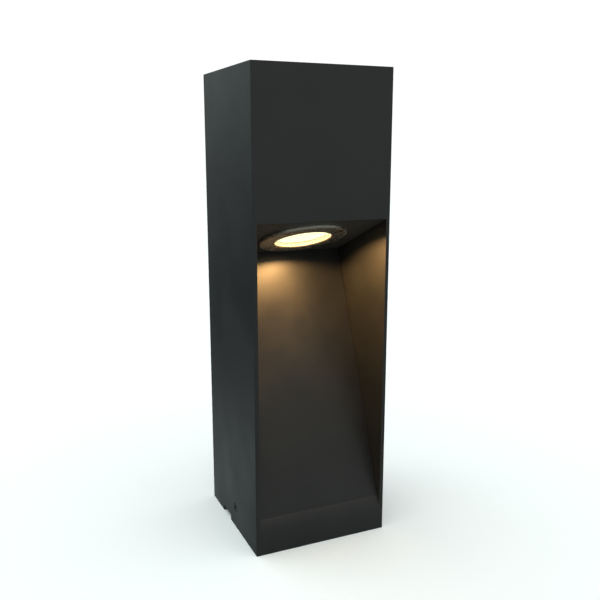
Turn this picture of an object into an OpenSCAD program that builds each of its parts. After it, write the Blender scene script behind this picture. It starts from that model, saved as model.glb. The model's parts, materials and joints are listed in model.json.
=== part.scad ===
// Low square bollard light: a 120 mm aluminium column with a light recess in its front.
// A lamp in the recess's sloping ceiling shines down along a slanted back panel.
// Origin: centre of the footprint, on the ground. +X right, +Y back, +Z up. Millimetres.

/* [Column] */
// Width of the column, side to side
body_w = 120; // [100:1:160]
// Depth of the column, front to back
body_d = 120; // [100:1:160]
// Height of the column
body_h = 396; // [330:1:520]
// Wall thickness of the square tube
wall_t = 3.5; // [2.5:0.5:4.5]
// Outer radius of the tube's upright corners
corner_r = 0.8; // [0.4:0.1:2]
// Thickness of the top cap
cap_t = 4; // [3:0.5:8]

/* [Light recess] */
// Height of the closed head, measured on the front
head_h = 119.4; // [105:0.1:130]
// Height of the recess's lower end above the ground
sill_z = 21.6; // [12:0.1:30]
// Depth of the recess at its deepest, measured from the front
recess_depth = 87; // [80:1:90]
// Thickness of the shelf and of the slope panel
sheet_t = 2.5; // [2:0.5:3]

/* [Lamp fitting] */
// Distance from the head's lower edge to the lamp axis, along the shelf
lamp_setback = 45; // [42:0.5:48]
// Outer radius of the bezel ring
bezel_r = 38; // [36:0.5:40]
// Thickness of the bezel ring's flange
bezel_t = 3; // [2.6:0.1:4]
// Radius of the opening that the light comes out of
aperture_r = 24; // [22:0.5:24.5]
// Radius of the circle that the bezel screws stand on
bezel_screw_circle_r = 32.5; // [31.5:0.5:33]
// Number of bezel screws
bezel_screw_count = 4; // [3:1:6]
// Thickness of the clear glass
glass_t = 3; // [2:0.5:4]
// Radius of the glass
glass_r = 25.8; // [25.5:0.1:26]
// Outer radius of the lamp
lamp_r = 25; // [24:0.5:25]
// Length of the lamp from its face to the back of its base
lamp_len = 46; // [44:1:50]
// Distance between the centres of the lamp's two pins
pin_pitch = 10; // [9:0.5:11]
// Turn that frees the lamp from its holder, in degrees
release_turn = 30; // [15:1:40]

/* [Base] */
// Thickness of the rubber pad under the base plate
pad_t = 2; // [1:0.5:4]
// Thickness of the base plate and of its flanges
base_t = 3; // [2:0.5:4]
// Distance from the base plate's edge to the centres of the anchor holes
anchor_edge = 16.2; // [14:0.1:20]
// Radius of the anchor holes
anchor_hole_r = 4.5; // [3.5:0.25:5]
// Radius of the grommet's bore, which the supply cable enters by
cable_bore_r = 5; // [3.5:0.5:7]
// Height of the side screws above the ground
side_screw_z = 18.6; // [15:0.1:24]
// Place of the side screws, front to back
side_screw_y = -5; // [-10:1:10]
// Width of the drain notch in the left wall's foot
notch_w = 20; // [12:1:24]
// Height of the drain notch
notch_h = 5; // [3:0.5:7]

/* [Wiring] */
// Outer radius of the leads to the lamp
lead_r = 1.25; // [1:0.05:1.5]
// Width of the gear plate that carries the terminal block
gear_w = 50; // [44:1:52]
// Height of the gear plate above the base plate
gear_h = 145; // [135:1:160]
// Height of the terminal block's top above the ground
block_top_z = 118; // [110:1:125]
// Distance between the poles of the terminal block
pole_pitch = 10; // [9:0.5:11]

/* [Hidden] */
$fn = 64;
eps = 0.01;
past = 1;               // how far a cut runs past the face that it opens
slip = 0.3;             // clearance of a piece that slides into another
thread_gap = 0.05;      // clearance of a screw in its tapped hole

charcoal = "#2b2f2f";
charcoal_dark = "#242626";
steel = "#a9adb0";
black_steel = "#1d1e1f";
zinc = "#9ea3a3";
brass_tone = "#b5904a";
rubber_black = "#191a1b";
silicone = "#d8d3c6";
glass_tint = [0.85, 0.9, 0.92, 0.35];
lamp_alu = "#c9cccd";
warm_white = "#fff3d0";
ceramic_white = "#ece8df";
nylon_white = "#e9e8e2";
led_yellow = "#f3d14a";
live_brown = "#6b3d1e";
neutral_blue = "#2f5fae";
earth_green = "#4f8f3a";

// Column and recess
inner_w = body_w - 2 * wall_t;
inner_d = body_d - 2 * wall_t;
front_y = -body_d / 2;
inner_front_y = front_y + wall_t;
inner_back_y = body_d / 2 - wall_t;
head_edge_z = body_h - head_h;
recess_h = head_edge_z - sill_z;
// The shelf and the slope panel meet square, so one angle sets both
tilt = asin(2 * recess_depth / recess_h) / 2;
shelf_len = recess_h * sin(tilt);
deep_y = front_y + recess_depth;
deep_z = head_edge_z - shelf_len * sin(tilt);

// Lamp axis: where it crosses the shelf's lower face
lamp_y = front_y + lamp_setback * cos(tilt);
lamp_z = head_edge_z - lamp_setback * sin(tilt);

// Bezel, measured along the lamp axis from the shelf's lower face
bezel_edge_r = 2;
lip_t = 1.4;
seal_t = 0.6;
ring_t = 1;
spigot_wall = 1.7;
spigot_h = bezel_t + 2;
seat_r = glass_r + 0.2;
spigot_r = seat_r + spigot_wall;
seat_z = lip_t - bezel_t;
glass_z = seat_z + seal_t;
ring_z = glass_z + glass_t;
retainer_tab_w = 5;
retainer_tab_reach = 1.6;
m3_r = 1.5;
m3_head_r = 3;
m3_head_h = 1.6;
m3_hex_r = 1.15;
bezel_screw_tip_z = sheet_t + 2;

// Lamp, from its face backwards
lamp_gap = 1;
lamp_face_z = max(ring_z + ring_t, seat_z) + lamp_gap;
lamp_rim_h = 5;
lamp_neck_r = 15;
lamp_back_z = lamp_face_z + lamp_len;
lamp_cone_top_z = lamp_back_z - 12;
lamp_shell_top_z = lamp_back_z - 8;
optic_r = lamp_r - 1.4;
optic_t = 1.6;
cup_floor_z = lamp_face_z + 16;
cup_floor_r = 14.5;
cup_mouth_r = optic_r - 0.9;
board_r = 13;
board_t = 1.6;
chip_r = 6;
chip_t = 1;
reflector_t = 0.8;
fin_count = 18;
fin_gap = 2.4;
fin_depth = 5;
base_r = 13;
pin_r = 1.5;
pin_head_r = 2.5;
pin_head_t = 1.5;
pin_stem = 4.3;

// Holder, over the lamp's base
holder_r = 16;
holder_gap = 0.4;
holder_face_t = 3.5;
holder_z = lamp_back_z + holder_gap;
chamber_z = holder_z + holder_face_t;
chamber_r = pin_pitch / 2 + pin_head_r + 1;
contact_z = lamp_back_z + pin_stem + pin_head_t + 0.6;
chamber_top_z = contact_z + 3;
holder_top_z = chamber_top_z + 4.5;
contact_r = 2.2;
slot_gap = 0.3;
holder_screw_y = 12.5;
holder_screw_depth = 7;

// Holder bracket
strap_t = 1.5;
strap_w = 30;
strap_leg_x = spigot_r + 3.5;
strap_foot = 13;
strap_window_r = 9;
stud_r = 2;
stud_x = strap_leg_x + 7.5;
stud_h = 9;
nut_t = 3.2;
nut_r = 4;
earth_stud_gap = 12.5;
earth_stud_x = inner_w / 2 - earth_stud_gap;
earth_stud_y = 20;
tag_t = 0.8;
tag_r = 4.5;
crimp_r = 1.8;
crimp_start = 3.5;
crimp_end = 11;

// Base
plate_w = inner_w - 2 * slip;
plate_d = inner_d - 2 * slip;
plate_top_z = pad_t + base_t;
flange_top_z = 32;
flange_len = 40;
flange_x = plate_w / 2 - base_t;
pad_inset = 1.2;
pad_hole_gap = 1.5;
grommet_neck_r = 13;
grommet_lip_r = 16;
grommet_lip_t = 1.5;
notch_y = 18;
m5_r = 2.5;
m5_head_r = 4.5;
m5_head_h = 2.6;
m5_hex_r = 1.7;
side_screw_len = 12;
rivet_nut_r = 4.2;
rivet_nut_len = 6;

// Gear plate, terminal block and cord saddle
gear_t = 2;
gear_gap = 8.5;
gear_foot = 20;
gear_y = inner_back_y - gear_gap - gear_t;
gear_screw_x = 17;
gear_screw_y = gear_y - 10;
block_w = 34;
block_d = 16;
block_h = 20;
block_y = gear_y - block_d;
block_z = block_top_z - block_h;
pole_y = gear_y - 8;
barrel_r = 2.6;
barrel_bore_r = 1.6;
barrel_bore_h = 7;
clamp_screw_r = 1.4;
clamp_head_r = 1.9;
clamp_drop = 5;
m4_r = 2;
m4_head_r = 3.6;
m4_head_h = 2.4;
block_screw_z = block_top_z - block_h / 2;
block_screw_x = pole_pitch / 2;
saddle_w = 34;
saddle_h = 12;
saddle_t = 8;
saddle_z = 60;
saddle_groove_r = 5;
saddle_screw_x = 12;

// Routes of the leads: the ends are the faces they meet, the points between are free
lead_sides = 8;
lead_steps = 3;
live_via = [[-5, 21, 338], [-5, 36, 340], [-6, 43, 320], [-7, 43, 270], [-9, 42, 200], [-10, 40, 150]];
neutral_via = [[5, 20, 332], [5, 33, 331], [4, 38, 310], [2, 39, 262], [1, 39, 200], [0, 39, 150]];
earth_via = [[43, 33, 246], [41, 41, 232], [34, 42, 205], [22, 41, 175], [12, 40, 150]];
tangent_run = 6;

// A point of the shelf's section: along it from the head's edge, and up from its lower face
function shelf_pt(along, up) = [
    front_y + along * cos(tilt) + up * sin(tilt),
    head_edge_z - along * sin(tilt) + up * cos(tilt)];

// A point of the slope panel's section: down it from the deep corner, and back from its face
function panel_pt(down, back) = [
    deep_y - down * sin(tilt) + back * cos(tilt),
    deep_z - down * cos(tilt) - back * sin(tilt)];

// A point given in the lamp's own frame, with its third number along the lamp axis
function lamp_pt(x, y, z) = [
    x,
    lamp_y + y * cos(tilt) + z * sin(tilt),
    lamp_z - y * sin(tilt) + z * cos(tilt)];

module at_lamp() {
    translate([0, lamp_y, lamp_z])
        rotate([-tilt, 0, 0])
            children();
}

module across(width) {
    rotate([90, 0, 90])
        linear_extrude(width, center = true)
            children();
}

module rounded_square(w, d, r) {
    square([w - 2 * r, d], center = true);
    square([w, d - 2 * r], center = true);
    for (x = [-1, 1], y = [-1, 1])
        translate([x * (w / 2 - r), y * (d / 2 - r)])
            circle(r, $fn = 32);
}

module ring(r_in, r_out, z0, z1) {
    translate([0, 0, z0])
        difference() {
            cylinder(h = z1 - z0, r = r_out);
            translate([0, 0, -past])
                cylinder(h = z1 - z0 + 2 * past, r = r_in);
        }
}

module rod(r, z0, z1) {
    translate([0, 0, z0])
        cylinder(h = z1 - z0, r = r);
}

module hex_bar(r, z0, z1) {
    translate([0, 0, z0])
        cylinder(h = z1 - z0, r = r, $fn = 6);
}

// A countersunk socket screw: its flat face at z = 0, its shank along +Z
module flat_screw(shank_r, head_r, head_h, len, hex_r) {
    difference() {
        union() {
            cylinder(h = head_h, r1 = head_r, r2 = shank_r);
            cylinder(h = len, r = shank_r);
        }
        hex_bar(hex_r, -past, head_h * 0.7);
    }
}

// A cylinder-head socket screw: its head above z = 0, its shank below
module cap_screw(shank_r, head_r, head_h, len) {
    difference() {
        union() {
            rod(head_r, 0, head_h);
            rod(shank_r, -len, eps);
        }
        hex_bar(head_r * 0.5, head_h * 0.4, head_h + past);
    }
}

module bezel_screw_places() {
    for (i = [0 : bezel_screw_count - 1])
        rotate([0, 0, 360 / bezel_screw_count * (i + 0.5)])
            translate([bezel_screw_circle_r, 0, 0])
                children();
}

module anchor_places() {
    for (x = [-1, 1], y = [-1, 1])
        translate([x * (plate_w / 2 - anchor_edge), y * (plate_d / 2 - anchor_edge), 0])
            children();
}

// Both side screws: each looks inwards along its own axis
module side_screw_places(x) {
    for (side = [-1, 1])
        translate([side * x, side_screw_y, side_screw_z])
            rotate([0, -90 * side, 0])
                children();
}

module drain_notch() {
    translate([-body_w / 2 - past, notch_y - notch_w / 2, -past])
        cube([wall_t + 2 * past, notch_w, notch_h + past]);
}

// ---- Column ----

module column_housing() {
    color(charcoal)
        difference() {
            linear_extrude(body_h)
                difference() {
                    rounded_square(body_w, body_d, corner_r);
                    square([inner_w, inner_d], center = true);
                }
            across(inner_w)
                polygon([
                    [front_y - past, head_edge_z + past * tan(tilt)],
                    [deep_y, deep_z],
                    [front_y - past, sill_z - past / tan(tilt)]]);
            side_screw_places(body_w / 2) {
                rod(m5_r + slip, -past, wall_t + past);
                cylinder(h = m5_head_h, r1 = m5_head_r, r2 = m5_r);
            }
            drain_notch();
        }
}

module top_cap() {
    color(charcoal)
        translate([0, 0, body_h - cap_t])
            linear_extrude(cap_t)
                square([inner_w, inner_d], center = true);
}

module lamp_shelf() {
    color(charcoal_dark)
        difference() {
            across(inner_w)
                polygon([
                    shelf_pt(wall_t / cos(tilt), 0),
                    shelf_pt(shelf_len + sheet_t, 0),
                    shelf_pt(shelf_len + sheet_t, sheet_t),
                    shelf_pt((wall_t - sheet_t * sin(tilt)) / cos(tilt), sheet_t)]);
            at_lamp() {
                rod(spigot_r + slip, -past, sheet_t + past);
                bezel_screw_places()
                    rod(m3_r + thread_gap, -past, sheet_t + past);
            }
        }
}

module slope_panel() {
    color(charcoal)
        across(inner_w)
            polygon([
                panel_pt(0, 0),
                panel_pt((recess_depth - wall_t) / sin(tilt), 0),
                panel_pt((recess_depth - wall_t + sheet_t * cos(tilt)) / sin(tilt), sheet_t),
                panel_pt(0, sheet_t)]);
}

// ---- Bezel and glass ----

module bezel_section() {
    difference() {
        union() {
            translate([aperture_r, -bezel_t])
                square([bezel_r - bezel_edge_r - aperture_r, bezel_t]);
            translate([aperture_r, bezel_edge_r - bezel_t])
                square([bezel_r - aperture_r, bezel_t - bezel_edge_r]);
            translate([bezel_r - bezel_edge_r, bezel_edge_r - bezel_t])
                intersection() {
                    circle(bezel_edge_r, $fn = 48);
                    translate([-eps, -bezel_edge_r])
                        square([bezel_edge_r + eps, bezel_edge_r + eps]);
                }
            translate([seat_r - eps, -eps])
                square([spigot_wall + eps, spigot_h - bezel_t + eps]);
        }
        translate([aperture_r - past, seat_z])
            square([seat_r - aperture_r + past, spigot_h + past]);
        polygon([
            [aperture_r - past, -bezel_t - past],
            [aperture_r + lip_t / 2 + past, -bezel_t - past],
            [aperture_r - past, -bezel_t + lip_t / 2 + past]]);
    }
}

module bezel_ring() {
    color(charcoal)
        at_lamp()
            difference() {
                rotate_extrude()
                    bezel_section();
                bezel_screw_places() {
                    rod(m3_r + slip, -bezel_t - past, past);
                    translate([0, 0, -bezel_t])
                        cylinder(h = m3_head_h, r1 = m3_head_r, r2 = m3_r);
                }
            }
}

module bezel_screws() {
    color(steel)
        at_lamp()
            bezel_screw_places()
                translate([0, 0, -bezel_t])
                    flat_screw(m3_r, m3_head_r, m3_head_h, bezel_t + bezel_screw_tip_z, m3_hex_r);
}

module lens_gasket() {
    color(silicone)
        at_lamp()
            ring(aperture_r + 0.2, glass_r, seat_z, glass_z);
}

module lens_glass() {
    color(glass_tint)
        at_lamp()
            rod(glass_r, glass_z, ring_z);
}

module glass_retainer() {
    color(steel)
        at_lamp() {
            ring(aperture_r + 0.4, seat_r, ring_z, ring_z + ring_t);
            for (a = [-90, 30, 150])
                rotate([0, 0, a])
                    translate([aperture_r + 0.8 - retainer_tab_reach, -retainer_tab_w / 2, ring_z])
                        cube([retainer_tab_reach, retainer_tab_w, ring_t]);
        }
}

// ---- Lamp ----

module lamp_optic() {
    color(warm_white)
        at_lamp()
            rod(optic_r, lamp_face_z, lamp_face_z + optic_t);
}

module lamp_reflector() {
    color(steel)
        at_lamp()
            translate([0, 0, lamp_face_z + optic_t])
                difference() {
                    cylinder(
                        h = cup_floor_z - board_t - lamp_face_z - optic_t,
                        r1 = cup_mouth_r, r2 = chip_r + 1 + reflector_t);
                    translate([0, 0, -eps])
                        cylinder(
                            h = cup_floor_z - board_t - lamp_face_z - optic_t + 2 * eps,
                            r1 = cup_mouth_r - reflector_t, r2 = chip_r + 1);
                }
}

module led_chip() {
    color(led_yellow)
        at_lamp()
            rod(chip_r, cup_floor_z - board_t - chip_t, cup_floor_z - board_t);
}

module led_board() {
    color(lamp_alu)
        at_lamp()
            rod(board_r, cup_floor_z - board_t, cup_floor_z);
}

module lamp_body() {
    color(lamp_alu)
        at_lamp()
            difference() {
                union() {
                    rod(lamp_r, lamp_face_z, lamp_face_z + lamp_rim_h);
                    translate([0, 0, lamp_face_z + lamp_rim_h])
                        cylinder(
                            h = lamp_cone_top_z - lamp_face_z - lamp_rim_h,
                            r1 = lamp_r, r2 = lamp_neck_r);
                    rod(lamp_neck_r, lamp_cone_top_z - eps, lamp_shell_top_z);
                }
                rod(optic_r, lamp_face_z - past, lamp_face_z + optic_t);
                translate([0, 0, lamp_face_z + optic_t - eps])
                    cylinder(
                        h = cup_floor_z - lamp_face_z - optic_t + eps,
                        r1 = cup_mouth_r, r2 = cup_floor_r);
                for (i = [0 : fin_count - 1])
                    rotate([0, 0, 360 / fin_count * i])
                        translate([lamp_neck_r, -fin_gap / 2, cup_floor_z])
                            cube([lamp_r, fin_gap, lamp_shell_top_z - cup_floor_z - fin_depth]);
            }
}

module lamp_base() {
    color(ceramic_white)
        at_lamp()
            rod(base_r, lamp_shell_top_z, lamp_back_z);
}

module lamp_pins() {
    color(steel)
        at_lamp()
            for (x = [-1, 1])
                translate([x * pin_pitch / 2, 0, 0]) {
                    rod(pin_r, lamp_back_z, lamp_back_z + pin_stem + eps);
                    rod(pin_head_r, lamp_back_z + pin_stem, lamp_back_z + pin_stem + pin_head_t);
                }
}

// ---- Lamp holder ----

// A keyhole that a pin enters at its wide end, and turns along to its narrow end
module keyhole() {
    groove_r = pin_r + slot_gap;
    depth = holder_face_t + 2 * past;
    translate([0, 0, holder_z - past]) {
        rotate([0, 0, -release_turn])
            rotate_extrude(angle = release_turn)
                translate([pin_pitch / 2 - groove_r, 0])
                    square([2 * groove_r, depth]);
        translate([pin_pitch / 2, 0, 0])
            cylinder(h = depth, r = groove_r);
        rotate([0, 0, -release_turn])
            translate([pin_pitch / 2, 0, 0])
                cylinder(h = depth, r = pin_head_r + slot_gap);
    }
}

module lamp_holder() {
    color(ceramic_white)
        at_lamp()
            difference() {
                rod(holder_r, holder_z, holder_top_z);
                rod(chamber_r, chamber_z, chamber_top_z);
                for (a = [0, 180])
                    rotate([0, 0, a])
                        keyhole();
                for (y = [-1, 1])
                    translate([0, y * holder_screw_y, 0])
                        rod(m3_r + thread_gap, holder_top_z - holder_screw_depth, holder_top_z + past);
            }
}

module holder_contacts() {
    color(brass_tone)
        at_lamp()
            for (x = [-1, 1])
                translate([x * pin_pitch / 2, 0, 0])
                    rod(contact_r, contact_z, chamber_top_z);
}

module holder_bracket() {
    color(zinc)
        at_lamp()
            difference() {
                union() {
                    translate([-strap_leg_x - strap_t, -strap_w / 2, holder_top_z])
                        cube([2 * (strap_leg_x + strap_t), strap_w, strap_t]);
                    for (side = [-1, 1])
                        mirror([side < 0 ? 1 : 0, 0, 0]) {
                            translate([strap_leg_x, -strap_w / 2, sheet_t])
                                cube([strap_t, strap_w, holder_top_z - sheet_t + eps]);
                            translate([strap_leg_x, -strap_w / 2, sheet_t])
                                cube([strap_foot, strap_w, strap_t]);
                        }
                }
                rod(strap_window_r, holder_top_z - past, holder_top_z + strap_t + past);
                for (y = [-1, 1])
                    translate([0, y * holder_screw_y, 0])
                        rod(m3_r + slip / 2, holder_top_z - past, holder_top_z + strap_t + past);
                for (x = [-1, 1])
                    translate([x * stud_x, 0, 0])
                        rod(stud_r + slip, sheet_t - past, sheet_t + strap_t + past);
            }
}

module holder_screws() {
    color(steel)
        at_lamp()
            for (y = [-1, 1])
                translate([0, y * holder_screw_y, holder_top_z + strap_t])
                    cap_screw(m3_r, 2.4, 1.8, holder_screw_depth + strap_t - 0.5);
}

module shelf_studs() {
    color(steel)
        at_lamp() {
            for (x = [-1, 1])
                translate([x * stud_x, 0, 0])
                    rod(stud_r, sheet_t, sheet_t + stud_h);
            translate([earth_stud_x, earth_stud_y, 0])
                rod(stud_r, sheet_t, sheet_t + stud_h);
        }
}

module stud_nut(z) {
    difference() {
        hex_bar(nut_r, z, z + nut_t);
        rod(stud_r + thread_gap, z - past, z + nut_t + past);
    }
}

module stud_nuts() {
    color(zinc)
        at_lamp() {
            for (x = [-1, 1])
                translate([x * stud_x, 0, 0])
                    stud_nut(sheet_t + strap_t);
            translate([earth_stud_x, earth_stud_y, 0])
                stud_nut(sheet_t + tag_t);
        }
}

module earth_tag() {
    color(brass_tone)
        at_lamp()
            translate([earth_stud_x, earth_stud_y, sheet_t])
                difference() {
                    union() {
                        rod(tag_r, 0, tag_t);
                        translate([-crimp_r, 0, 0])
                            cube([2 * crimp_r, crimp_end, tag_t]);
                        translate([0, nut_r + crimp_start / 2, crimp_r])
                            rotate([-90, 0, 0])
                                cylinder(h = crimp_end - nut_r - crimp_start / 2, r = crimp_r);
                    }
                    rod(stud_r + slip, -past, tag_t + past);
                }
}

// ---- Leads ----

function unit(v) = v / norm(v);

function blend_pt(a, b, c, d, t) = 0.5 * (
    2 * b + (c - a) * t + (2 * a - 5 * b + 4 * c - d) * t * t + (3 * b - a - 3 * c + d) * t * t * t);

// A smooth line through the route's points, with lead_steps places between each two
function smooth_line(p) = let (
    n = len(p) - 1,
    q = concat([2 * p[0] - p[1]], p, [2 * p[n] - p[n - 1]]))
    concat(
        [for (i = [0 : n - 1], k = [0 : lead_steps - 1])
            blend_pt(q[i], q[i + 1], q[i + 2], q[i + 3], k / lead_steps)],
        [p[n]]);

// The line's direction at place i, square to the end faces at both ends
function heading(line, i, first, last) =
    i == 0 ? first : i == len(line) - 1 ? last : unit(line[i + 1] - line[i - 1]);

module lead(route, first, last) {
    line = smooth_line(route);
    count = len(line);
    points = [
        for (i = [0 : count - 1])
            let (along = heading(line, i, first, last),
                side = unit(cross(along, [1, 0, 0])),
                up = cross(side, along))
            for (k = [0 : lead_sides - 1])
                let (a = 360 / lead_sides * k)
                line[i] + lead_r * (cos(a) * side + sin(a) * up)];
    walls = [
        for (i = [0 : count - 2], k = [0 : lead_sides - 1])
            let (m = (k + 1) % lead_sides)
            [i * lead_sides + k, i * lead_sides + m,
                (i + 1) * lead_sides + m, (i + 1) * lead_sides + k]];
    first_end = [for (k = [lead_sides - 1 : -1 : 0]) k];
    last_end = [for (k = [0 : lead_sides - 1]) (count - 1) * lead_sides + k];
    polyhedron(points = points, faces = concat([first_end], walls, [last_end]));
}

axis_up = [0, sin(tilt), cos(tilt)];
shelf_back = [0, cos(tilt), -sin(tilt)];
down = [0, 0, -1];

function barrel_top(pole) = [pole * pole_pitch, pole_y, block_top_z];

// From a face of the holder to a pole of the terminal block
module lamp_lead(x, via, pole) {
    start = lamp_pt(x, 0, holder_top_z);
    finish = barrel_top(pole);
    lead(concat([start, start + tangent_run * axis_up], via, [finish - tangent_run * down, finish]),
        axis_up, down);
}

module live_lead() {
    color(live_brown)
        lamp_lead(-pin_pitch / 2, live_via, -1);
}

module neutral_lead() {
    color(neutral_blue)
        lamp_lead(pin_pitch / 2, neutral_via, 0);
}

module earth_lead() {
    start = lamp_pt(earth_stud_x, earth_stud_y + crimp_end, sheet_t + crimp_r);
    finish = barrel_top(1);
    color(earth_green)
        lead(concat([start, start + tangent_run * shelf_back], earth_via,
            [finish - tangent_run * down, finish]), shelf_back, down);
}

// ---- Terminals ----

module pole_places() {
    for (pole = [-1 : 1])
        translate([pole * pole_pitch, pole_y, 0])
            children();
}

// The two clamp screws of each pole, looking back into the block
module clamp_screw_places() {
    for (pole = [-1 : 1], z = [block_top_z - clamp_drop, block_z + clamp_drop])
        translate([pole * pole_pitch, block_y, z])
            rotate([-90, 0, 0])
                children();
}

module block_screw_places() {
    for (x = [-1, 1])
        translate([x * block_screw_x, block_y, block_screw_z])
            rotate([90, 0, 0])
                children();
}

module terminal_block() {
    color(nylon_white)
        difference() {
            translate([-block_w / 2, block_y, block_z])
                cube([block_w, block_d, block_h]);
            pole_places()
                rod(barrel_r, block_z - past, block_top_z + past);
            clamp_screw_places()
                rod(clamp_head_r + slip / 2, -past, pole_y - block_y);
            block_screw_places()
                rod(m3_r + slip / 2, -block_d - past, past);
        }
}

module terminal_barrels() {
    color(brass_tone)
        difference() {
            pole_places()
                rod(barrel_r, block_z, block_top_z);
            pole_places()
                rod(barrel_bore_r, block_z - past, block_z + barrel_bore_h);
            clamp_screw_places()
                rod(clamp_screw_r + thread_gap, 0, pole_y - block_y);
        }
}

module terminal_screws() {
    color(steel)
        clamp_screw_places()
            difference() {
                union() {
                    rod(clamp_head_r, 1, pole_y - block_y - barrel_r - slip);
                    rod(clamp_screw_r, 1, pole_y - block_y - slip);
                }
                translate([-clamp_head_r, -0.3, 0])
                    cube([2 * clamp_head_r, 0.6, 1.8]);
            }
}

module block_screws() {
    color(steel)
        block_screw_places()
            cap_screw(m3_r, 2.4, 1.8, block_d + gear_t + past);
}

module gear_screw_places() {
    for (x = [-1, 1])
        translate([x * gear_screw_x, gear_screw_y, plate_top_z + gear_t])
            children();
}

module saddle_screw_places() {
    for (x = [-1, 1])
        translate([x * saddle_screw_x, gear_y - saddle_t, saddle_z])
            rotate([90, 0, 0])
                children();
}

module gear_plate() {
    color(zinc)
        difference() {
            union() {
                translate([-gear_w / 2, gear_y, plate_top_z])
                    cube([gear_w, gear_t, gear_h]);
                translate([-gear_w / 2, gear_y + gear_t - gear_foot, plate_top_z])
                    cube([gear_w, gear_foot, gear_t]);
            }
            gear_screw_places()
                rod(m4_r + slip / 2, -gear_t - past, past);
            block_screw_places()
                rod(m3_r + thread_gap, -block_d - gear_t - past, past);
            saddle_screw_places()
                rod(m3_r + thread_gap, -saddle_t - gear_t - past, past);
        }
}

module gear_screws() {
    color(steel)
        gear_screw_places()
            cap_screw(m4_r, m4_head_r, m4_head_h, gear_t + base_t);
}

module cord_saddle() {
    color(nylon_white)
        difference() {
            translate([-saddle_w / 2, gear_y - saddle_t, saddle_z - saddle_h / 2])
                cube([saddle_w, saddle_t, saddle_h]);
            translate([0, gear_y, saddle_z - saddle_h / 2 - past])
                cylinder(h = saddle_h + 2 * past, r = saddle_groove_r);
            saddle_screw_places()
                rod(m3_r + slip / 2, -saddle_t - past, past);
        }
}

module saddle_screws() {
    color(steel)
        saddle_screw_places()
            cap_screw(m3_r, 2.4, 1.8, saddle_t + gear_t + past);
}

// ---- Base ----

module cable_grommet() {
    color(rubber_black)
        difference() {
            union() {
                rod(grommet_neck_r, pad_t - grommet_lip_t, plate_top_z + grommet_lip_t);
                rod(grommet_lip_r, pad_t - grommet_lip_t, pad_t);
                rod(grommet_lip_r, plate_top_z, plate_top_z + grommet_lip_t);
            }
            rod(cable_bore_r, -past, plate_top_z + grommet_lip_t + past);
        }
}

module base_plate() {
    color(zinc)
        difference() {
            union() {
                translate([-plate_w / 2, -plate_d / 2, pad_t])
                    cube([plate_w, plate_d, base_t]);
                for (side = [-1, 1])
                    translate([side * (flange_x + base_t / 2), side_screw_y, (pad_t + flange_top_z) / 2])
                        cube([base_t, flange_len, flange_top_z - pad_t], center = true);
            }
            anchor_places()
                rod(anchor_hole_r, pad_t - past, plate_top_z + past);
            rod(grommet_neck_r, pad_t - past, plate_top_z + past);
            gear_screw_places()
                rod(m4_r + thread_gap, -gear_t - base_t - past, past);
            side_screw_places(plate_w / 2)
                rod(m5_r + slip, -past, base_t + past);
        }
}

module base_pad() {
    color(rubber_black)
        difference() {
            translate([0, 0, pad_t / 2])
                cube([plate_w - 2 * pad_inset, plate_d - 2 * pad_inset, pad_t], center = true);
            anchor_places()
                rod(anchor_hole_r + pad_hole_gap, -past, pad_t + past);
            rod(grommet_lip_r + pad_hole_gap, -past, pad_t + past);
            gear_screw_places()
                rod(m4_r + pad_hole_gap, -plate_top_z - gear_t - past, past);
        }
}

module rivet_nuts() {
    color(zinc)
        side_screw_places(flange_x)
            ring(m5_r + thread_gap, rivet_nut_r, 0, rivet_nut_len);
}

module side_screws() {
    color(black_steel)
        side_screw_places(body_w / 2)
            flat_screw(m5_r, m5_head_r, m5_head_h, side_screw_len, m5_hex_r);
}

column_housing();
top_cap();
lamp_shelf();
slope_panel();
bezel_ring();
bezel_screws();
lens_gasket();
lens_glass();
glass_retainer();
lamp_optic();
lamp_reflector();
led_chip();
led_board();
lamp_body();
lamp_base();
lamp_pins();
lamp_holder();
holder_contacts();
holder_bracket();
holder_screws();
shelf_studs();
stud_nuts();
earth_tag();
live_lead();
neutral_lead();
earth_lead();
terminal_block();
terminal_barrels();
terminal_screws();
block_screws();
gear_plate();
gear_screws();
cord_saddle();
saddle_screws();
cable_grommet();
base_plate();
base_pad();
rivet_nuts();
side_screws();
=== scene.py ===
"""Looks of a low square bollard light: coated column, sloping light recess, ring, glass, lamp and foot.

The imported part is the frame, and every piece here takes its place from it. Metres, +Z up, and the
front of the column faces -Y. Pieces of the body "column" stand still, and pieces of the body "lamp"
turn together in the lamp holder.
"""

from __future__ import annotations

import json
import logging
import math
from dataclasses import dataclass
from enum import Enum
from typing import Any, Optional, Sequence

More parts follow.
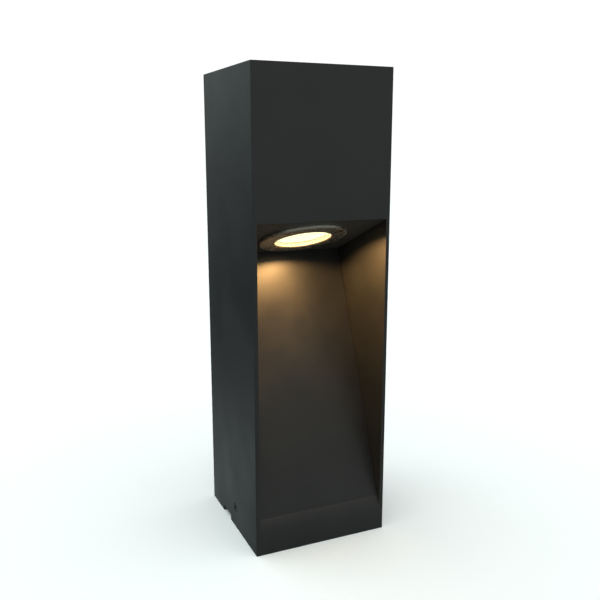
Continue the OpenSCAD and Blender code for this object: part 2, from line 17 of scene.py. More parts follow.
import bmesh
import bpy
import numpy as np
from mathutils import Euler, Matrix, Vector

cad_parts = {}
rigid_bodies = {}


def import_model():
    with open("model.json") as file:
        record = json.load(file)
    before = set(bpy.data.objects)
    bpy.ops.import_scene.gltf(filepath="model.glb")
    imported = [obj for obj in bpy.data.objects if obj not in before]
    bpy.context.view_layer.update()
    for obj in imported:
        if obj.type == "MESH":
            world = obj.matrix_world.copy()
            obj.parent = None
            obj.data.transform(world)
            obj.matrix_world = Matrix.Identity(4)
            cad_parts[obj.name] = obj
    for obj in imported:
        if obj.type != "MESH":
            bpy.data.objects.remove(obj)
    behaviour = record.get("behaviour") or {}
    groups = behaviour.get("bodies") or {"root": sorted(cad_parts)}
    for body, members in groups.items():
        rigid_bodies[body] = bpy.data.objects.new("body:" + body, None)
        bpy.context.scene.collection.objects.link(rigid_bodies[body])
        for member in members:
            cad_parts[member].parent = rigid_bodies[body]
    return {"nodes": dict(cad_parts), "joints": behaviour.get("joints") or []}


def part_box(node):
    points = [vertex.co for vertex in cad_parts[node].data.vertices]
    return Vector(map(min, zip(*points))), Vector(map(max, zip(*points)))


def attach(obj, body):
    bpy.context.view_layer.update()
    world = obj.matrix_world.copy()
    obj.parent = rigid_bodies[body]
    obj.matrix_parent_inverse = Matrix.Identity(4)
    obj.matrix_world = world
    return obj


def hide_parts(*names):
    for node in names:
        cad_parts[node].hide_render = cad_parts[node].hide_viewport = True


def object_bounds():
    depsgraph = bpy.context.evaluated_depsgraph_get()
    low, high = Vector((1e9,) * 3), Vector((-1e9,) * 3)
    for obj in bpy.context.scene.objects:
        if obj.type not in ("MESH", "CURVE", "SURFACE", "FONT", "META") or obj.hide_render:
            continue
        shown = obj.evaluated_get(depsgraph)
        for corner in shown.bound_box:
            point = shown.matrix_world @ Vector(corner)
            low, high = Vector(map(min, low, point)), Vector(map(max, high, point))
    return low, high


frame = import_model()
CAD_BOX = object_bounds()

MM = 0.001
LOG = logging.getLogger("bollard")

Piece = bpy.types.Object
Tree = bpy.types.NodeTree
Node = bpy.types.Node
Colour = tuple[float, float, float, float]
Stops = Sequence[tuple[float, Colour]]

# The mix node's colour sockets, which share their names with its other ones
MIX_A, MIX_B, MIXED = 6, 7, 2


# ---- Numbers, colours and shader nodes ----


def linear(hex_colour: str, alpha: float = 1.0) -> Colour:
    """Turns an sRGB hex colour to the linear one that a shader takes.

    Args:
        hex_colour: the colour as "#rrggbb".
        alpha: the fourth number.

    Returns:
        Red, green, blue and alpha, linear.
    """
    coded = np.array([int(hex_colour[i:i + 2], 16) for i in (1, 3, 5)]) / 255
    open_values = np.where(coded <= 0.04045, coded / 12.92, ((coded + 0.055) / 1.055) ** 2.4)
    return (*(float(v) for v in open_values), alpha)


def add_node(tree: Tree, kind: str, inputs: Optional[dict[Any, Any]] = None, stops: Stops = (),
             to: Optional[bpy.types.NodeSocket] = None, **settings: Any) -> Node:
    """Adds a shader node with its settings and links.

    Args:
        tree: the node tree.
        kind: the node's type.
        inputs: a value or another node's output for each input, by name or number.
        stops: place and colour of each stop, in order, on a node with a colour ramp.
        to: the socket that the node's first output goes to.
        settings: attributes of the node itself.

    Returns:
        The node.
    """
    node = tree.nodes.new(kind)
    for name, value in settings.items():
        setattr(node, name, value)
    for key, value in (inputs or {}).items():
        if isinstance(value, bpy.types.NodeSocket):
            tree.links.new(value, node.inputs[key])
        else:
            node.inputs[key].default_value = value
    for number, (place, colour) in enumerate(stops):
        elements = node.color_ramp.elements
        element = elements[number] if number < len(elements) else elements.new(1.0)
        element.position = place
        element.color = colour
    if to:
        tree.links.new(node.outputs[0], to)
    return node


# ---- The lamp's own line ----


@dataclass(frozen=True)
class LampLine:
    """The lamp's axis. Local x runs across the column, y back along the shelf, z up into the head."""

    origin: np.ndarray
    up: np.ndarray

    @classmethod
    def from_joint(cls, name: str) -> "LampLine":
        """Reads the line from the joint that the lamp turns on.

        Args:
            name: the joint's name.

        Returns:
            The line.
        """
        joint = next(j for j in frame["joints"] if j["name"] == name)
        return cls(np.array(joint["pos_m"], float), -np.array(joint["axis"], float))

    @property
    def tilt(self) -> float:
        """The lean of the axis from upright, in radians."""
        return math.atan2(self.up[1], self.up[2])

    @property
    def turn(self) -> Euler:
        """The rotation that carries local directions to the part's own."""
        return Euler((-self.tilt, 0.0, 0.0))

    def axes(self) -> np.ndarray:
        """The local x, y and z directions as three rows."""
        across = np.array([1.0, 0.0, 0.0])
        return np.stack([across, np.cross(self.up, across), self.up])

    def place(self, points: np.ndarray) -> np.ndarray:
        """Carries local points to the part's frame: origin + x across + y back + z up."""
        return self.origin + points @ self.axes()

    def local(self, points: np.ndarray) -> np.ndarray:
        """Carries points of the part's frame to local ones: the same turn, backwards."""
        return (points - self.origin) @ self.axes().T


LAMP = LampLine.from_joint("lamp_release")


# ---- Finishes ----


def per_metre(size_mm: float) -> float:
    """The texture scale at which one feature of a pattern is this many millimetres wide."""
    return 1 / (size_mm * MM)


@dataclass(frozen=True)
class Finish:
    """What every finish has: its name, its colour, its gloss, and a surface that each kind adds."""

    name: str
    colour: str
    roughness: float = 0.5
    metallic: float = 0.0
    ior: float = 1.5
    specular: float = 0.5

    def material(self) -> bpy.types.Material:
        """Makes the material once, and gives the same one after that.

        Returns:
            The material.
        """
        found = bpy.data.materials.get(self.name)
        if found:
            return found
        made = bpy.data.materials.new(self.name)
        made.use_nodes = True
        tree = made.node_tree
        shader = tree.nodes["Principled BSDF"]
        shader.inputs["Base Color"].default_value = linear(self.colour)
        shader.inputs["Roughness"].default_value = self.roughness
        shader.inputs["Metallic"].default_value = self.metallic
        shader.inputs["Specular IOR Level"].default_value = self.specular
        if not self.metallic:
            shader.inputs["IOR"].default_value = self.ior
        self.surface(tree, shader, add_node(tree, "ShaderNodeTexCoord"))
        return made

    def surface(self, tree: Tree, shader: Node, coords: Node) -> None:
        """Adds the pattern of this kind of surface. The plain finish has none.

        Args:
            tree: the material's node tree.
            shader: its surface shader.
            coords: its texture coordinates.
        """


@dataclass(frozen=True)
class PowderCoat(Finish):
    """Polyester powder, sprayed dry on aluminium and baked.

    The flow of the melt leaves a faint orange peel that breaks up reflections a little, and the
    pigment clouds slightly from thin to thick film.
    """

    thick: str = "#2b3030"
    peel_mm: float = 2.2
    peel_depth_mm: float = 0.006
    cloud_mm: float = 45.0
    gloss_spread: float = 0.05

    def surface(self, tree: Tree, shader: Node, coords: Node) -> None:
        """Clouded colour, patchy gloss and orange peel, drawn a little coarser than the real 1.5 mm.

        Args:
            tree: the material's node tree.
            shader: its surface shader.
            coords: its texture coordinates.
        """
        cloud = add_node(tree, "ShaderNodeTexNoise", {
            "Vector": coords.outputs["Object"], "Scale": per_metre(self.cloud_mm), "Detail": 3.0})
        add_node(tree, "ShaderNodeValToRGB", {"Fac": cloud.outputs["Fac"]}, [
            (0.35, linear(self.colour)), (0.65, linear(self.thick))],
            to=shader.inputs["Base Color"])
        add_node(tree, "ShaderNodeMapRange", {
            "Value": cloud.outputs["Fac"], "From Min": 0.3, "From Max": 0.7,
            "To Min": self.roughness - self.gloss_spread, "To Max": self.roughness + self.gloss_spread},
            to=shader.inputs["Roughness"])
        peel = add_node(tree, "ShaderNodeTexNoise", {
            "Vector": coords.outputs["Object"], "Scale": per_metre(self.peel_mm), "Detail": 2.0})
        add_node(tree, "ShaderNodeBump", {
            "Height": peel.outputs["Fac"], "Distance": self.peel_depth_mm * MM},
            to=shader.inputs["Normal"])


@dataclass(frozen=True)
class TurnedAnodised(Finish):
    """Aluminium, turned and anodised graphite grey.

    The dyed oxide keeps the metal's shine, so the ring picks up the lit panel as brown and the dark
    wall as black, and its edges carry bright lines. Faint turning lines show through the oxide.
    """

    turning_mm: float = 1.84
    turning_depth_mm: float = 0.0005
    smear_mm: float = 9.0

    def surface(self, tree: Tree, shader: Node, coords: Node) -> None:
        """Rings round the lamp's line: local coordinates, whose distance from the axis drives a wave.

        The real lines are finer: these are drawn coarse enough to show. The wave node draws a line
        every 2 pi / 20 at scale 1.

        Args:
            tree: the material's node tree.
            shader: its surface shader.
            coords: its texture coordinates.
        """
        local = add_node(tree, "ShaderNodeMapping", {
            "Vector": coords.outputs["Object"], "Location": Vector(LAMP.origin),
            "Rotation": LAMP.turn}, vector_type="TEXTURE")
        lines = add_node(tree, "ShaderNodeTexWave", {
            "Vector": local.outputs["Vector"], "Scale": per_metre(self.turning_mm) * 2 * math.pi / 20,
            "Distortion": 0.1}, wave_type="RINGS", rings_direction="Z")
        add_node(tree, "ShaderNodeBump", {
            "Height": lines.outputs["Fac"], "Distance": self.turning_depth_mm * MM},
            to=shader.inputs["Normal"])
        smear = add_node(tree, "ShaderNodeTexNoise", {
            "Vector": coords.outputs["Object"], "Scale": per_metre(self.smear_mm), "Detail": 4.0})
        add_node(tree, "ShaderNodeMapRange", {
            "Value": smear.outputs["Fac"], "To Min": self.roughness - 0.06,
            "To Max": self.roughness + 0.1},
            to=shader.inputs["Roughness"])


@dataclass(frozen=True)
class FloatGlass(Finish):
    """Clear toughened glass, cut from float sheet, with the lamp lit behind it.

    The whole disc carries a painted glow, an emission that stands in for the lamp's light
    scattered in the glass, and a faint wipe haze softens its reflections in patches.
    """

    haze: float = 0.03
    wipe_mm: float = 6.0
    # Colour and strength of the painted glow that stands in for the lamp's light in the glass
    glow: str = "#fff8b4"
    glow_strength: float = 0.3

    def surface(self, tree: Tree, shader: Node, coords: Node) -> None:
        """Full transmission, a haze that comes and goes over a few millimetres, and a painted glow.

        Args:
            tree: the material's node tree.
            shader: its surface shader.
            coords: its texture coordinates.
        """
        shader.inputs["Transmission Weight"].default_value = 1.0
        # Painted glow: emission in place of the lamp's light scattered in the glass, which is no lamp
        # itself
        shader.inputs["Emission Color"].default_value = linear(self.glow)
        shader.inputs["Emission Strength"].default_value = self.glow_strength
        wipe = add_node(tree, "ShaderNodeTexNoise", {
            "Vector": coords.outputs["Object"], "Scale": per_metre(self.wipe_mm), "Detail": 5.0})
        add_node(tree, "ShaderNodeMapRange", {
            "Value": wipe.outputs["Fac"], "From Min": 0.4, "From Max": 0.7,
            "To Min": self.roughness, "To Max": self.haze},
            to=shader.inputs["Roughness"])


@dataclass(frozen=True)
class Grained(Finish):
    """A moulded or cast surface: a fine grain from the tool, and a tone that drifts over the piece."""

    drift: str = "#808080"
    drift_mm: float = 12.0
    grain_mm: float = 0.5
    grain_depth_mm: float = 0.02

    def surface(self, tree: Tree, shader: Node, coords: Node) -> None:
        """Two tones mixed by slow noise, fine noise as relief, and gloss that follows the grain.

        Args:
            tree: the material's node tree.
            shader: its surface shader.
            coords: its texture coordinates.
        """
        slow = add_node(tree, "ShaderNodeTexNoise", {
            "Vector": coords.outputs["Object"], "Scale": per_metre(self.drift_mm), "Detail": 5.0})
        add_node(tree, "ShaderNodeValToRGB", {"Fac": slow.outputs["Fac"]}, [
            (0.35, linear(self.colour)), (0.7, linear(self.drift))],
            to=shader.inputs["Base Color"])
        grain = add_node(tree, "ShaderNodeTexNoise", {
            "Vector": coords.outputs["Object"], "Scale": per_metre(self.grain_mm), "Detail": 2.0})
        add_node(tree, "ShaderNodeMapRange", {
            "Value": grain.outputs["Fac"], "To Min": self.roughness - 0.08,
            "To Max": self.roughness + 0.08},
            to=shader.inputs["Roughness"])
        add_node(tree, "ShaderNodeBump", {
            "Height": grain.outputs["Fac"], "Distance": self.grain_depth_mm * MM},
            to=shader.inputs["Normal"])


@dataclass(frozen=True)
class MouldedRubber(Grained):
    """Black EPDM, pressed in an eroded mould: dull, with a grey bloom in patches."""


@dataclass(frozen=True)
class MouldedSilicone(Grained):
    """Milky silicone, pressed: soft and half clear, so that light runs a little way into it."""

    depth_mm: float = 0.8
    clearness: float = 0.4

    def surface(self, tree: Tree, shader: Node, coords: Node) -> None:
        """The grain, and light that scatters under the skin.

        Args:
            tree: the material's node tree.
            shader: its surface shader.
            coords: its texture coordinates.
        """
        super().surface(tree, shader, coords)
        shader.inputs["Subsurface Weight"].default_value = self.clearness
        shader.inputs["Subsurface Scale"].default_value = self.depth_mm * MM


@dataclass(frozen=True)
class MouldedNylon(Grained):
    """Natural polyamide, injection moulded: warm white with a fine spark-eroded grain."""


@dataclass(frozen=True)
class GlazedSteatite(Grained):
    """Pressed steatite, glazed and fired: cream, glossy, with a few darker specks in the body."""

    speck_mm: float = 1.6
    speck: str = "#6f6658"

    def surface(self, tree: Tree, shader: Node, coords: Node) -> None:
        """The grain as the glaze's ripple, specks from a cell pattern, and the glaze as a clear coat.

        Args:
            tree: the material's node tree.
            shader: its surface shader.
            coords: its texture coordinates.
        """
        super().surface(tree, shader, coords)
        body = shader.inputs["Base Color"].links[0].from_socket
        cells = add_node(tree, "ShaderNodeTexVoronoi", {
            "Vector": coords.outputs["Object"], "Scale": per_metre(self.speck_mm)})
        speck = add_node(tree, "ShaderNodeValToRGB", {"Fac": cells.outputs["Distance"]}, [
            (0.06, linear(self.speck)), (0.12, linear("#ffffff"))])
        both = add_node(tree, "ShaderNodeMix", {
            "Factor": 0.6, MIX_A: body, MIX_B: speck.outputs["Color"]},
            data_type="RGBA", blend_type="MULTIPLY")
        tree.links.new(both.outputs[MIXED], shader.inputs["Base Color"])
        shader.inputs["Coat Weight"].default_value = 0.7
        shader.inputs["Coat Roughness"].default_value = 0.08


@dataclass(frozen=True)
class DieCastAluminium(Grained):
    """Aluminium, die cast and tumbled: bright grey with flow marks and a soft satin skin."""


@dataclass(frozen=True)
class TumbledSteel(Grained):
    """Steel, cold headed, then plated or left stainless: small tumbling dents catch the light."""


@dataclass(frozen=True)
class BlackOxideSteel(Grained):
    """Socket-screw steel, blackened in hot salts and oiled: almost black, with brownish patches."""


@dataclass(frozen=True)
class DrawnBrass(Grained):
    """Brass, drawn and cut: yellow metal with thin brown tarnish where it was handled."""


@dataclass(frozen=True)
class ZincPlate(Finish):
    """Sheet steel, plated with zinc and passivated.

    The crystals of the plate show as a faint mosaic, and the passivation tints them from blue to
    straw.
    """

    spangle_mm: float = 2.5
    tint_mm: float = 18.0
    straw: str = "#aaa795"

    def surface(self, tree: Tree, shader: Node, coords: Node) -> None:
        """Cells with their own tone and gloss, tinted by slow noise.

        Args:
            tree: the material's node tree.
            shader: its surface shader.
            coords: its texture coordinates.
        """
        cells = add_node(tree, "ShaderNodeTexVoronoi", {
            "Vector": coords.outputs["Object"], "Scale": per_metre(self.spangle_mm)})
        tint = add_node(tree, "ShaderNodeTexNoise", {
            "Vector": coords.outputs["Object"], "Scale": per_metre(self.tint_mm), "Detail": 4.0})
        tone = add_node(tree, "ShaderNodeValToRGB", {"Fac": tint.outputs["Fac"]}, [
            (0.35, linear(self.colour)), (0.65, linear(self.straw))])
        mosaic = add_node(tree, "ShaderNodeMix", {
            "Factor": 0.12, MIX_A: tone.outputs["Color"], MIX_B: cells.outputs["Color"]},
            data_type="RGBA")
        tree.links.new(mosaic.outputs[MIXED], shader.inputs["Base Color"])
        add_node(tree, "ShaderNodeMapRange", {
            "Value": cells.outputs["Distance"], "To Min": self.roughness - 0.08,
            "To Max": self.roughness + 0.15},
            to=shader.inputs["Roughness"])


@dataclass(frozen=True)
class VapourSilver(Finish):
    """Aluminium vapour on a moulded cup: a mirror with a slight ripple from the mould."""

    ripple_mm: float = 3.0
    ripple_depth_mm: float = 0.03

    def surface(self, tree: Tree, shader: Node, coords: Node) -> None:
        """A shallow ripple that bends the mirror's picture.

        Args:
            tree: the material's node tree.
            shader: its surface shader.
            coords: its texture coordinates.
        """
        ripple = add_node(tree, "ShaderNodeTexNoise", {
            "Vector": coords.outputs["Object"], "Scale": per_metre(self.ripple_mm)})
        add_node(tree, "ShaderNodeBump", {
            "Height": ripple.outputs["Fac"], "Distance": self.ripple_depth_mm * MM},
            to=shader.inputs["Normal"])


@dataclass(frozen=True)
class LitLens(Finish):
    """The lamp's front: clear polycarbonate with a frosted back, lit from behind.

    Almost white to the eye, and yellower towards the middle, where the chip is nearest.
    """

    rim: str = "#fffbe2"
    middle: str = "#fff5c0"
    strength: float = 0.9
    radius_mm: float = 23.6

    def surface(self, tree: Tree, shader: Node, coords: Node) -> None:
        """Glow by distance from the lamp's line: yellow in the middle, white towards the rim.

        Args:
            tree: the material's node tree.
            shader: its surface shader.
            coords: its texture coordinates.
        """
        local = add_node(tree, "ShaderNodeMapping", {
            "Vector": coords.outputs["Object"], "Location": Vector(LAMP.origin),
            "Rotation": LAMP.turn}, vector_type="TEXTURE")
        flat = add_node(tree, "ShaderNodeVectorMath", {
            0: local.outputs["Vector"], 1: Vector((1, 1, 0)) * per_metre(self.radius_mm)},
            operation="MULTIPLY")
        reach = add_node(tree, "ShaderNodeVectorMath", {0: flat.outputs["Vector"]},
                         operation="LENGTH")
        add_node(tree, "ShaderNodeValToRGB", {"Fac": reach.outputs["Value"]}, [
            (0.0, linear(self.middle)), (0.45, linear(self.middle)), (0.8, linear(self.rim))],
            to=shader.inputs["Emission Color"])
        shader.inputs["Emission Strength"].default_value = self.strength


@dataclass(frozen=True)
class Phosphor(Grained):
    """The chip's silicone, loaded with yellow phosphor powder, glowing."""

    glow: str = "#ffe9a0"
    glow_strength: float = 2.0

    def surface(self, tree: Tree, shader: Node, coords: Node) -> None:
        """The grain, with a glow of the phosphor's own colour.

        Args:
            tree: the material's node tree.
            shader: its surface shader.
            coords: its texture coordinates.
        """
        super().surface(tree, shader, coords)
        shader.inputs["Emission Color"].default_value = linear(self.glow)
        shader.inputs["Emission Strength"].default_value = self.glow_strength


class Stripe(Enum):
    """How a lead's sleeve is coloured."""

    PLAIN = "plain"
    TWO_TONE = "two_tone"


@dataclass(frozen=True)
class ExtrudedSleeve(Finish):
    """Silicone, extruded round the conductor: satin, with faint die lines along it.

    The earth sleeve has its second colour in two bands that run the whole length.
    """

    stripe: Stripe = Stripe.PLAIN
    second: str = "#e3c62c"
    die_lines: int = 14
    die_depth_mm: float = 0.02
    grain_mm: float = 3.0

    def surface(self, tree: Tree, shader: Node, coords: Node) -> None:
        """Bands and die lines by the UV's first number u, which runs once round the sleeve.

        The die lines are sin(2 pi n u), and the bands are where sin(4 pi u) is over zero.

        Args:
            tree: the material's node tree.
            shader: its surface shader.
            coords: its texture coordinates.
        """
        across = add_node(tree, "ShaderNodeSeparateXYZ", {0: coords.outputs["UV"]}).outputs["X"]
        lines = add_node(tree, "ShaderNodeMath", {
            0: add_node(tree, "ShaderNodeMath", {0: across, 1: 2 * math.pi * self.die_lines},
                        operation="MULTIPLY").outputs[0]}, operation="SINE")
        add_node(tree, "ShaderNodeBump", {
            "Height": lines.outputs[0], "Distance": self.die_depth_mm * MM},
            to=shader.inputs["Normal"])
        grain = add_node(tree, "ShaderNodeTexNoise", {
            "Vector": coords.outputs["Object"], "Scale": per_metre(self.grain_mm)})
        add_node(tree, "ShaderNodeMapRange", {
            "Value": grain.outputs["Fac"], "To Min": self.roughness - 0.1,
            "To Max": self.roughness + 0.1},
            to=shader.inputs["Roughness"])
        if self.stripe is Stripe.PLAIN:
            return
        bands = add_node(tree, "ShaderNodeMath", {
            0: add_node(tree, "ShaderNodeMath", {0: across, 1: 4 * math.pi},
                        operation="MULTIPLY").outputs[0]}, operation="SINE")
        add_node(tree, "ShaderNodeValToRGB", {"Fac": bands.outputs[0]}, [
            (0.0, linear(self.colour)), (0.04, linear(self.second))],
            to=shader.inputs["Base Color"])


COLUMN_COAT = PowderCoat("column_powder_coat", "#121413", roughness=0.44, specular=1.0,
                         thick="#161817")
# The shelf takes the column's powder coat made lighter: painted light that lifts the shaded ceiling of the
# recess
SHELF_COAT_PAINTED_LIGHT = PowderCoat("shelf_coat_painted_light", "#2b2c29", roughness=0.5, specular=0.8,
                        thick="#30312d", gloss_spread=0.03)
RING_ANODISED = TurnedAnodised("ring_graphite_anodised", "#bab5a9", roughness=0.24, metallic=0.9)
# The glass glows with painted light: emission in place of the lamp's light scattered in it
CLEAR_GLASS = FloatGlass("clear_float_glass", "#ffffff", roughness=0.0, ior=1.52)
SEAL_SILICONE = MouldedSilicone("milky_silicone", "#d8d3c6", roughness=0.55, drift="#c9c3b2")
STAINLESS = TumbledSteel("stainless_tumbled", "#b3b5b6", roughness=0.28, metallic=1.0,
                         drift="#9a9c9d", drift_mm=6.0, grain_mm=0.4, grain_depth_mm=0.004)
NICKEL = TumbledSteel("nickel_plated_steel", "#bdb8ab", roughness=0.22, metallic=1.0,
                      drift="#a29d90", drift_mm=4.0, grain_mm=0.4, grain_depth_mm=0.003)
BLACK_SCREW = BlackOxideSteel("black_oxide_steel", "#161617", roughness=0.42, metallic=0.6,
                              drift="#231f1c", drift_mm=3.0, grain_mm=0.4, grain_depth_mm=0.004)
LIT_LENS = LitLens("lit_polycarbonate_lens", "#fff6df", roughness=0.35, ior=1.585)
SILVERED_CUP = VapourSilver("vapour_silvered_cup", "#e4e5e6", roughness=0.08, metallic=1.0)
PHOSPHOR = Phosphor("phosphor_silicone", "#e9c63c", roughness=0.6, drift="#d9ae2a", drift_mm=2.0)
LAMP_CASTING = DieCastAluminium("die_cast_aluminium", "#b9bcbe", roughness=0.4, metallic=1.0,
                                drift="#a3a6a8", drift_mm=10.0, grain_mm=0.6, grain_depth_mm=0.01)
STEATITE = GlazedSteatite("glazed_steatite", "#ece8df", roughness=0.3, drift="#e0dacb",
                          drift_mm=8.0, grain_mm=0.9, grain_depth_mm=0.01)
BRASS = DrawnBrass("drawn_brass", "#c39b55", roughness=0.28, metallic=1.0, drift="#8f6b38",
                   drift_mm=5.0, grain_mm=0.5, grain_depth_mm=0.004)
ZINC = ZincPlate("zinc_plated_sheet", "#a4a9ad", roughness=0.34, metallic=1.0)
LIVE_SLEEVE = ExtrudedSleeve("brown_silicone_sleeve", "#6b3d1e", roughness=0.4)
NEUTRAL_SLEEVE = ExtrudedSleeve("blue_silicone_sleeve", "#2f5fae", roughness=0.4)
EARTH_SLEEVE = ExtrudedSleeve("green_yellow_silicone_sleeve", "#3f8a35", roughness=0.4,
                              stripe=Stripe.TWO_TONE)
NYLON = MouldedNylon("moulded_nylon", "#e9e8e2", roughness=0.45, drift="#ddd9cd")
RUBBER = MouldedRubber("moulded_rubber", "#191a1b", roughness=0.72, drift="#262728",
                       drift_mm=8.0, grain_mm=0.7, grain_depth_mm=0.03)


# ---- Making meshes ----

# Faces that differ by less than this are one flat face, and edges that turn more than this are eased
FLAT_WITHIN_DEG, EASED_OVER_DEG = 0.2, 40.0
# A corner's curve takes at most this share of the side before it and after it
SIDE_SHARE = 0.45


def mesh_object(name: str, points: np.ndarray, faces: Sequence[Sequence[int]],
                sharp_over_deg: float = 30.0) -> Piece:
    """Puts points and faces into a new object at the origin, smooth but for its sharp edges.

    Args:
        name: the piece's name.
        points: one row of x, y, z for each vertex, in metres.
        faces: the vertex numbers of each face.
        sharp_over_deg: edges that turn more than this stay sharp.

    Returns:
        The object, linked to the scene.
    """
    mesh = bpy.data.meshes.new(name)
    mesh.from_pydata(np.asarray(points, float).tolist(), [], [list(map(int, f)) for f in faces])
    mesh.validate()
    mesh.polygons.foreach_set("use_smooth", np.ones(len(mesh.polygons), bool))
    mesh.set_sharp_from_angle(angle=math.radians(sharp_over_deg))
    made = bpy.data.objects.new(name, mesh)
    bpy.context.scene.collection.objects.link(made)
    return made


def merged_faces(node: str) -> tuple[np.ndarray, np.ndarray]:
    """The triangles of a CAD node with their loose corners merged.

    Args:
        node: the node's name.

    Returns:
        Points, and three point numbers for each triangle.
    """
    mesh = frame["nodes"][node].data
    points = np.empty(len(mesh.vertices) * 3)
    mesh.vertices.foreach_get("co", points)
    corners = np.empty(len(mesh.loops), int)
    mesh.loops.foreach_get("vertex_index", corners)
    places = np.round(points.reshape(-1, 3), 7)
    merged, back = np.unique(places, axis=0, return_inverse=True)
    triangles = back.ravel()[corners].reshape(-1, 3)
    whole = ((triangles[:, 0] != triangles[:, 1]) & (triangles[:, 1] != triangles[:, 2])
             & (triangles[:, 2] != triangles[:, 0]))
    return merged, triangles[whole]


def eased_copy(node: str, name: str, edge_mm: float, steps: int = 3) -> Piece:
    """A merged copy of a CAD node with its flat faces made whole and its sharp edges rounded.

    Args:
        node: the CAD node that the piece stands for.
        name: the piece's name.
        edge_mm: the width of the rounding.
        steps: how many faces the rounding has across.

    Returns:
        The piece.
    """
    points, triangles = merged_faces(node)
    made = mesh_object(name, points, triangles)
    work = bmesh.new()
    work.from_mesh(made.data)
    bmesh.ops.dissolve_limit(work, angle_limit=math.radians(FLAT_WITHIN_DEG),
                             verts=work.verts, edges=work.edges)
    work.to_mesh(made.data)
    work.free()
    rounding = made.modifiers.new("eased_edges", "BEVEL")
    rounding.width = edge_mm * MM
    rounding.segments = steps
    rounding.limit_method = "ANGLE"
    rounding.angle_limit = math.radians(EASED_OVER_DEG)
    rounding.harden_normals = True
    rounding.use_clamp_overlap = True
    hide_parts(node)
    return made


def tidy_solid(made: Piece) -> Piece:
    """Turns the faces of a closed piece outwards.

    Args:
        made: the piece.

    Returns:
        The same piece.
    """
    work = bmesh.new()
    work.from_mesh(made.data)
    bmesh.ops.recalc_face_normals(work, faces=work.faces)
    work.to_mesh(made.data)
    work.free()
    return made


def grid_faces(rows: int, sides: int, loop: bool = False, start: int = 0) -> list[list[int]]:
    """Four-sided faces between rows of points that each run once round.

    Args:
        rows: how many rows there are.
        sides: how many points a row has.
        loop: whether the last row joins the first.
        start: the number of the first point.

    Returns:
        The point numbers of each face.
    """
    row = np.arange(rows if loop else rows - 1)[:, None]
    side = np.arange(sides)[None, :]
    after, beside = (row + 1) % rows, (side + 1) % sides
    faces = np.stack([row * sides + side, row * sides + beside,
                      after * sides + beside, after * sides + side], axis=-1)
    return (faces.reshape(-1, 4) + start).tolist()


def rounded(corners: Sequence[tuple[float, float]], radius: float, steps: int = 4) -> np.ndarray:
    """A closed outline with its corners rounded.

    Each corner is a curve from radius before it to radius after it, blended as
    (1 - t)^2 before + 2 t (1 - t) corner + t^2 after.

    Args:
        corners: the outline's corners in order.
        radius: how far from a corner its curve starts, shorter on short sides.
        steps: how many points each curve has, less one.

    Returns:
        One row for each point of the outline.
    """
    here = np.array(corners, float)
    back, ahead = np.roll(here, 1, axis=0) - here, np.roll(here, -1, axis=0) - here
    near, far = (np.linalg.norm(side, axis=1, keepdims=True) for side in (back, ahead))
    before = here + back / near * np.minimum(radius, SIDE_SHARE * near)
    after = here + ahead / far * np.minimum(radius, SIDE_SHARE * far)
    t = np.linspace(0, 1, steps + 1)[None, :, None]
    curve = ((1 - t) ** 2 * before[:, None] + 2 * t * (1 - t) * here[:, None]
             + t ** 2 * after[:, None])
    return curve.reshape(-1, 2)


def turned_ring(name: str, outline: np.ndarray, sides: int = 192) -> Piece:
    """Turns a closed outline round the lamp's line: (r cos a, r sin a, z).

    Args:
        name: the piece's name.
        outline: r and z of each point, in metres, in the lamp's own frame.
        sides: how many steps the turn has.

    Returns:
        The piece.
    """
    a = np.linspace(0, 2 * np.pi, sides, endpoint=False)[None, :]
    r, z = outline[:, :1], outline[:, 1:]
    points = np.stack([r * np.cos(a), r * np.sin(a), z + 0 * a], axis=-1).reshape(-1, 3)
    return tidy_solid(mesh_object(name, LAMP.place(points), grid_faces(len(outline), sides, loop=True)))


def turned_solid(name: str, places: np.ndarray, ways: np.ndarray, radii: np.ndarray,
                 heights: np.ndarray) -> Piece:
    """Solids that run round an axis each, all in one piece, with their two ends closed to a point.

    A point is place + r cos a * one side + r sin a * other side + z * way, where r may differ
    round the row, as in a hexagon socket or a thread.

    Args:
        name: the piece's name.
        places: where each solid's axis starts.
        ways: the direction of each axis.
        radii: r of each row and side, in metres.
        heights: z of each row and side, in metres.

    Returns:
        The piece.
    """
    rows, sides = radii.shape
    a = np.linspace(0, 2 * np.pi, sides, endpoint=False)
    points, faces = [], []
    ring = np.arange(sides)
    for place, way in zip(places, ways):
        helper = np.eye(3)[np.argmin(np.abs(way))]
        one = np.cross(way, helper)
        one /= np.linalg.norm(one)
        other = np.cross(way, one)
        body = (place + (radii * np.cos(a))[..., None] * one + (radii * np.sin(a))[..., None] * other
                + heights[..., None] * way).reshape(-1, 3)
        ends = place + np.array([[heights[0].mean()], [heights[-1].mean()]]) * way
        start = sum(len(p) for p in points)
        first, last = start + rows * sides, start + rows * sides + 1
        points += [body, ends]
        faces += grid_faces(rows, sides, start=start)
        faces += np.stack([ring * 0 + first, start + (ring + 1) % sides, start + ring], 1).tolist()
        top = start + (rows - 1) * sides
        faces += np.stack([ring * 0 + last, top + ring, top + (ring + 1) % sides], 1).tolist()
    return tidy_solid(mesh_object(name, np.concatenate(points), faces))


def hexagon(across_mm: float, sides: int) -> np.ndarray:
    """The radius of a hexagon at each angle: half its width over the cosine from a flat.

    Args:
        across_mm: the width between two flats.
        sides: how many angles there are in the turn.

    Returns:
        One radius for each angle, in metres.
    """
    a = np.linspace(0, 2 * np.pi, sides, endpoint=False)
    from_flat = (a + math.pi / 6) % (math.pi / 3) - math.pi / 6
    return across_mm / 2 * MM / np.cos(from_flat)


